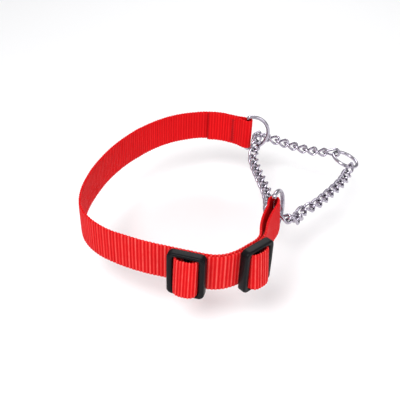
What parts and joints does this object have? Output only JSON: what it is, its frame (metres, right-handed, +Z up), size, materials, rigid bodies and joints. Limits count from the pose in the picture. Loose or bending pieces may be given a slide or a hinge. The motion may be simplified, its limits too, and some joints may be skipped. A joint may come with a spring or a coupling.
{
  "type": "martingale dog collar",
  "caption": "Half-check dog collar: flat webbing band with slide adjusters, its ends folded round D-rings that a twisted-link chain loop with a round lead ring threads",
  "frame": {"origin": "centre of the bounding box in plan, at the level of the table the collar stands on", "axes": "+Z up, along the webbing's width; +X towards the lead ring; +Y from the front slider towards the rear D-ring"},
  "size_m": [0.1655, 0.1604, 0.0258],
  "materials": {
    "webbing": "woven, matte",
    "thread": "matte",
    "slider": "satin",
    "chain": "polished",
    "ring": "polished"
  },
  "bodies": {
    "band": {"band_webbing": "webbing", "bar_tack_stitching": "thread"},
    "slider_1": {"slider_1": "slider", "slider_1_webbing_hump": "webbing"},
    "slider_2": {"slider_2": "slider", "slider_2_webbing_hump": "webbing"},
    "ring_a": {"ring_a": "ring"},
    "ring_b": {"ring_b": "ring"},
    "lead_ring": {"lead_ring": "ring"},
    "chain_a_link_01": {"chain_a_link_01": "chain"},
    "chain_a_link_02": {"chain_a_link_02": "chain"},
    "chain_a_link_03": {"chain_a_link_03": "chain"},
    "chain_a_link_04": {"chain_a_link_04": "chain"},
    "chain_a_link_05": {"chain_a_link_05": "chain"},
    "chain_a_link_06": {"chain_a_link_06": "chain"},
    "chain_a_link_07": {"chain_a_link_07": "chain"},
    "chain_a_link_08": {"chain_a_link_08": "chain"},
    "chain_a_link_09": {"chain_a_link_09": "chain"},
    "chain_ring_a_link": {"chain_ring_a_link": "chain"},
    "chain_n_link_01": {"chain_n_link_01": "chain"},
    "chain_n_link_02": {"chain_n_link_02": "chain"},
    "chain_n_link_03": {"chain_n_link_03": "chain"},
    "chain_n_link_04": {"chain_n_link_04": "chain"},
    "chain_n_link_05": {"chain_n_link_05": "chain"},
    "chain_n_link_06": {"chain_n_link_06": "chain"},
    "chain_n_link_07": {"chain_n_link_07": "chain"},
    "chain_n_link_08": {"chain_n_link_08": "chain"},
    "chain_n_link_09": {"chain_n_link_09": "chain"},
    "chain_n_link_10": {"chain_n_link_10": "chain"},
    "chain_n_link_11": {"chain_n_link_11": "chain"},
    "chain_n_link_12": {"chain_n_link_12": "chain"},
    "chain_n_link_13": {"chain_n_link_13": "chain"},
    "chain_ring_b_link": {"chain_ring_b_link": "chain"},
    "chain_b_link_01": {"chain_b_link_01": "chain"},
    "chain_b_link_02": {"chain_b_link_02": "chain"},
    "chain_b_link_03": {"chain_b_link_03": "chain"},
    "chain_b_link_04": {"chain_b_link_04": "chain"},
    "chain_b_link_05": {"chain_b_link_05": "chain"},
    "chain_b_link_06": {"chain_b_link_06": "chain"},
    "chain_b_link_07": {"chain_b_link_07": "chain"},
    "chain_b_link_08": {"chain_b_link_08": "chain"},
    "chain_b_link_09": {"chain_b_link_09": "chain"},
    "chain_b_link_10": {"chain_b_link_10": "chain"},
    "chain_b_link_11": {"chain_b_link_11": "chain"},
    "chain_b_link_12": {"chain_b_link_12": "chain"}
  },
  "joints": [
    {"name": "slider_1_travel", "type": "slide", "parent": "band", "child": "slider_1", "axis": [0.9659, -0.2588, 0], "range_m": [-0.004, 0.004]},
    {"name": "slider_2_travel", "type": "slide", "parent": "band", "child": "slider_2", "axis": [0.7314, 0.682, 0], "range_m": [-0.004, 0.004]},
    {"name": "ring_a_turn", "type": "hinge", "parent": "band", "child": "ring_a", "pos_m": [0.00992, 0.06664, 0.013], "axis": [0, 0, 1], "range_deg": [-10, 8]},
    {"name": "chain_swing", "type": "hinge", "parent": "band", "child": "chain_ring_a_link", "pos_m": [0.01654, 0.06784, 0.00807], "axis": [-0.1143, 0.9934, 0.0087], "range_deg": [-9, 25]},
    {"name": "ring_b_turn", "type": "hinge", "parent": "band", "child": "ring_b", "pos_m": [0.02052, -0.02406, 0.013], "axis": [0, 0, 1], "range_deg": [-2.9, 7.7]},
    {"name": "ring_b_link_roll", "type": "hinge", "parent": "chain_ring_a_link", "child": "chain_ring_b_link", "pos_m": [0.02656, -0.01925, 0.00731], "axis": [0.978, -0.1421, -0.1527], "range_deg": [-12, 6]},
    {"name": "lead_ring_turn", "type": "hinge", "parent": "chain_ring_a_link", "child": "lead_ring", "pos_m": [0.06782, 0.05771, 0.00591], "axis": [0.4651, -0.8701, -0.1633], "range_deg": [-18, 14]},
    {"name": "chain_a_link_05_lift", "type": "slide", "parent": "chain_ring_a_link", "child": "chain_a_link_05", "axis": [0, 0, 1], "range_m": [-0.0015, 0.0016]},
    {"name": "chain_a_link_09_tilt", "type": "hinge", "parent": "chain_ring_a_link", "child": "chain_a_link_09", "pos_m": [0.01651, 0.07105, 0.00753], "axis": [0.8375, -0.5464, 0], "range_deg": [-5.03, 5.34]},
    {"name": "chain_a_link_08_tilt", "type": "hinge", "parent": "chain_ring_a_link", "child": "chain_a_link_08", "pos_m": [0.01325, 0.07464, 0.00537], "axis": [0.2282, -0.9736, 0], "range_deg": [-4.57, 4.86]},
    {"name": "chain_a_link_07_tilt", "type": "hinge", "parent": "chain_ring_a_link", "child": "chain_a_link_07", "pos_m": [0.00868, 0.08317, 0.00377], "axis": [-0.3121, -0.95, 0], "range_deg": [-3.35, 3.55]},
    {"name": "chain_a_link_06_tilt", "type": "hinge", "parent": "chain_ring_a_link", "child": "chain_a_link_06", "pos_m": [-0.00619, 0.09604, 0.00314], "axis": [-0.4743, -0.8804, 0], "range_deg": [-2.02, 2.14]},
    {"name": "chain_a_link_04_tilt", "type": "hinge", "parent": "chain_ring_a_link", "child": "chain_a_link_04", "pos_m": [0.09609, 0.04095, 0.00282], "axis": [0.4689, 0.8833, 0], "range_deg": [-1.75, 1.85]},
    {"name": "chain_a_link_03_tilt", "type": "hinge", "parent": "chain_ring_a_link", "child": "chain_a_link_03", "pos_m": [0.07353, 0.05468, 0.00308], "axis": [0.4165, 0.9091, 0], "range_deg": [-3.19, 3.38]},
    {"name": "chain_a_link_02_tilt", "type": "hinge", "parent": "chain_ring_a_link", "child": "chain_a_link_02", "pos_m": [0.06868, 0.05714, 0.00382], "axis": [0.4026, 0.9154, 0], "range_deg": [-4.29, 4.55]},
    {"name": "chain_a_link_01_tilt", "type": "hinge", "parent": "chain_ring_a_link", "child": "chain_a_link_01", "pos_m": [0.06782, 0.05771, 0.00513], "axis": [0.3772, 0.9261, 0], "range_deg": [-4.93, 5.23]},
    {"name": "chain_n_link_07_lift", "type": "slide", "parent": "chain_ring_a_link", "child": "chain_n_link_07", "axis": [0, 0, 1], "range_m": [-0.002, 0.0025]},
    {"name": "chain_n_link_01_tilt", "type": "hinge", "parent": "chain_ring_a_link", "child": "chain_n_link_01", "pos_m": [0.01657, 0.06463, 0.00619], "axis": [-0.9609, 0.277, 0], "range_deg": [-4.9, 6.05]},
    {"name": "chain_n_link_02_tilt", "type": "hinge", "parent": "chain_ring_a_link", "child": "chain_n_link_02", "pos_m": [0.016, 0.06567, 0.00406], "axis": [-0.9879, 0.1548, 0], "range_deg": [-4.28, 5.27]},
    {"name": "chain_n_link_03_tilt", "type": "hinge", "parent": "chain_ring_a_link", "child": "chain_n_link_03", "pos_m": [0.01322, 0.06793, 0.0031], "axis": [-0.9989, -0.0462, 0], "range_deg": [-3.73, 4.59]},
    {"name": "chain_n_link_04_tilt", "type": "hinge", "parent": "chain_ring_a_link", "child": "chain_n_link_04", "pos_m": [0.01018, 0.07318, 0.00279], "axis": [-0.9892, -0.1466, 0], "range_deg": [-3.05, 3.74]},
    {"name": "chain_n_link_05_tilt", "type": "hinge", "parent": "chain_ring_a_link", "child": "chain_n_link_05", "pos_m": [0.00699, 0.08806, 0.00274], "axis": [-0.9861, -0.166, 0], "range_deg": [-2.21, 2.69]},
    {"name": "chain_n_link_06_tilt", "type": "hinge", "parent": "chain_ring_a_link", "child": "chain_n_link_06", "pos_m": [-0.00442, 0.14325, 0.00274], "axis": [-0.9829, -0.1841, 0], "range_deg": [-1.26, 1.5]},
    {"name": "chain_n_link_08_tilt", "type": "hinge", "parent": "chain_ring_a_link", "child": "chain_n_link_08", "pos_m": [0.03621, -0.08772, 0.00275], "axis": [0.9872, 0.1597, 0], "range_deg": [-1.36, 1.63]},
    {"name": "chain_n_link_09_tilt", "type": "hinge", "parent": "chain_ring_a_link", "child": "chain_n_link_09", "pos_m": [0.02396, -0.04127, 0.00275], "axis": [0.9973, 0.0728, 0], "range_deg": [-2.3, 2.81]},
    {"name": "chain_n_link_10_tilt", "type": "hinge", "parent": "chain_ring_a_link", "child": "chain_n_link_10", "pos_m": [0.0196, -0.02775, 0.00293], "axis": [0.9996, -0.029, 0], "range_deg": [-3.13, 3.84]},
    {"name": "chain_n_link_11_tilt", "type": "hinge", "parent": "chain_ring_a_link", "child": "chain_n_link_11", "pos_m": [0.0178, -0.0225, 0.00364], "axis": [0.9926, -0.1216, 0], "range_deg": [-3.82, 4.69]},
    {"name": "chain_n_link_12_tilt", "type": "hinge", "parent": "chain_ring_a_link", "child": "chain_n_link_12", "pos_m": [0.01917, -0.02026, 0.00534], "axis": [0.9994, -0.0337, 0], "range_deg": [-4.48, 5.52]},
    {"name": "chain_n_link_13_tilt", "type": "hinge", "parent": "chain_ring_a_link", "child": "chain_n_link_13", "pos_m": [0.02341, -0.01879, 0.00715], "axis": [0.7748, 0.6322, 0], "range_deg": [-4.5, 5.56]},
    {"name": "chain_b_link_07_lift", "type": "slide", "parent": "chain_ring_a_link", "child": "chain_b_link_07", "axis": [0, 0, 1], "range_m": [-0.0025, 0.0014]},
    {"name": "chain_b_link_01_tilt", "type": "hinge", "parent": "chain_ring_a_link", "child": "chain_b_link_01", "pos_m": [0.02971, -0.01971, 0.00558], "axis": [0.5749, -0.8182, 0], "range_deg": [-6.36, 3.7]},
    {"name": "chain_b_link_02_tilt", "type": "hinge", "parent": "chain_ring_a_link", "child": "chain_b_link_02", "pos_m": [0.03282, -0.02271, 0.00352], "axis": [0.9642, -0.2653, 0], "range_deg": [-5.72, 3.34]},
    {"name": "chain_b_link_03_tilt", "type": "hinge", "parent": "chain_ring_a_link", "child": "chain_b_link_03", "pos_m": [0.0277, -0.02295, 0.00281], "axis": [0.829, -0.5592, 0], "range_deg": [-4.87, 2.86]},
    {"name": "chain_b_link_04_tilt", "type": "hinge", "parent": "chain_ring_a_link", "child": "chain_b_link_04", "pos_m": [0.01756, -0.02145, 0.00283], "axis": [0.5949, -0.8038, 0], "range_deg": [-3.88, 2.31]},
    {"name": "chain_b_link_05_tilt", "type": "hinge", "parent": "chain_ring_a_link", "child": "chain_b_link_05", "pos_m": [0.00748, -0.03866, 0.00275], "axis": [0.7064, -0.7078, 0], "range_deg": [-2.61, 1.59]},
    {"name": "chain_b_link_06_tilt", "type": "hinge", "parent": "chain_ring_a_link", "child": "chain_b_link_06", "pos_m": [-0.04793, -0.12033, 0.00274], "axis": [0.7849, -0.6196, 0], "range_deg": [-1.18, 0.79]},
    {"name": "chain_b_link_08_tilt", "type": "hinge", "parent": "chain_ring_a_link", "child": "chain_b_link_08", "pos_m": [0.09974, 0.06891, 0.00274], "axis": [-0.7957, 0.6057, 0], "range_deg": [-2.37, 1.46]},
    {"name": "chain_b_link_09_tilt", "type": "hinge", "parent": "chain_ring_a_link", "child": "chain_b_link_09", "pos_m": [0.08433, 0.05079, 0.00275], "axis": [-0.8159, 0.5782, 0], "range_deg": [-3.68, 2.2]},
    {"name": "chain_b_link_10_tilt", "type": "hinge", "parent": "chain_ring_a_link", "child": "chain_b_link_10", "pos_m": [0.07818, 0.04598, 0.00281], "axis": [-0.8678, 0.4969, 0], "range_deg": [-4.76, 2.8]},
    {"name": "chain_b_link_11_tilt", "type": "hinge", "parent": "chain_ring_a_link", "child": "chain_b_link_11", "pos_m": [0.07559, 0.04462, 0.00296], "axis": [-0.9183, 0.3958, 0], "range_deg": [-5.52, 3.22]},
    {"name": "chain_b_link_12_tilt", "type": "hinge", "parent": "chain_ring_a_link", "child": "chain_b_link_12", "pos_m": [0.07496, 0.04434, 0.00323], "axis": [-0.9437, 0.3307, 0], "range_deg": [-5.9, 3.44]}
  ],
  "couplings": [
    {"joint": "ring_b_turn", "follows": "chain_swing", "ratio": 0.3},
    {"joint": "chain_a_link_09_tilt", "follows": "chain_a_link_05_lift", "rad_per_m": 55.015},
    {"joint": "chain_a_link_08_tilt", "follows": "chain_a_link_05_lift", "rad_per_m": 49.708},
    {"joint": "chain_a_link_07_tilt", "follows": "chain_a_link_05_lift", "rad_per_m": 35.504},
    {"joint": "chain_a_link_06_tilt", "follows": "chain_a_link_05_lift", "rad_per_m": 20.027},
    {"joint": "chain_a_link_04_tilt", "follows": "chain_a_link_05_lift", "rad_per_m": 16.86},
    {"joint": "chain_a_link_03_tilt", "follows": "chain_a_link_05_lift", "rad_per_m": 33.595},
    {"joint": "chain_a_link_02_tilt", "follows": "chain_a_link_05_lift", "rad_per_m": 46.41},
    {"joint": "chain_a_link_01_tilt", "follows": "chain_a_link_05_lift", "rad_per_m": 53.819},
    {"joint": "chain_n_link_01_tilt", "follows": "chain_n_link_07_lift", "rad_per_m": 40.116},
    {"joint": "chain_n_link_02_tilt", "follows": "chain_n_link_07_lift", "rad_per_m": 34.692},
    {"joint": "chain_n_link_03_tilt", "follows": "chain_n_link_07_lift", "rad_per_m": 29.949},
    {"joint": "chain_n_link_04_tilt", "follows": "chain_n_link_07_lift", "rad_per_m": 23.996},
    {"joint": "chain_n_link_05_tilt", "follows": "chain_n_link_07_lift", "rad_per_m": 16.678},
    {"joint": "chain_n_link_06_tilt", "follows": "chain_n_link_07_lift", "rad_per_m": 8.3602},
    {"joint": "chain_n_link_08_tilt", "follows": "chain_n_link_07_lift", "rad_per_m": 9.2523},
    {"joint": "chain_n_link_09_tilt", "follows": "chain_n_link_07_lift", "rad_per_m": 17.489},
    {"joint": "chain_n_link_10_tilt", "follows": "chain_n_link_07_lift", "rad_per_m": 24.707},
    {"joint": "chain_n_link_11_tilt", "follows": "chain_n_link_07_lift", "rad_per_m": 30.679},
    {"joint": "chain_n_link_12_tilt", "follows": "chain_n_link_07_lift", "rad_per_m": 36.463},
    {"joint": "chain_n_link_13_tilt", "follows": "chain_n_link_07_lift", "rad_per_m": 36.694},
    {"joint": "chain_b_link_01_tilt", "follows": "chain_b_link_07_lift", "rad_per_m": 42.325},
    {"joint": "chain_b_link_02_tilt", "follows": "chain_b_link_07_lift", "rad_per_m": 37.859},
    {"joint": "chain_b_link_03_tilt", "follows": "chain_b_link_07_lift", "rad_per_m": 31.934},
    {"joint": "chain_b_link_04_tilt", "follows": "chain_b_link_07_lift", "rad_per_m": 25},
    {"joint": "chain_b_link_05_tilt", "follows": "chain_b_link_07_lift", "rad_per_m": 16.144},
    {"joint": "chain_b_link_06_tilt", "follows": "chain_b_link_07_lift", "rad_per_m": 6.1463},
    {"joint": "chain_b_link_08_tilt", "follows": "chain_b_link_07_lift", "rad_per_m": 14.469},
    {"joint": "chain_b_link_09_tilt", "follows": "chain_b_link_07_lift", "rad_per_m": 23.628},
    {"joint": "chain_b_link_10_tilt", "follows": "chain_b_link_07_lift", "rad_per_m": 31.123},
    {"joint": "chain_b_link_11_tilt", "follows": "chain_b_link_07_lift", "rad_per_m": 36.415},
    {"joint": "chain_b_link_12_tilt", "follows": "chain_b_link_07_lift", "rad_per_m": 39.104}
  ]
}
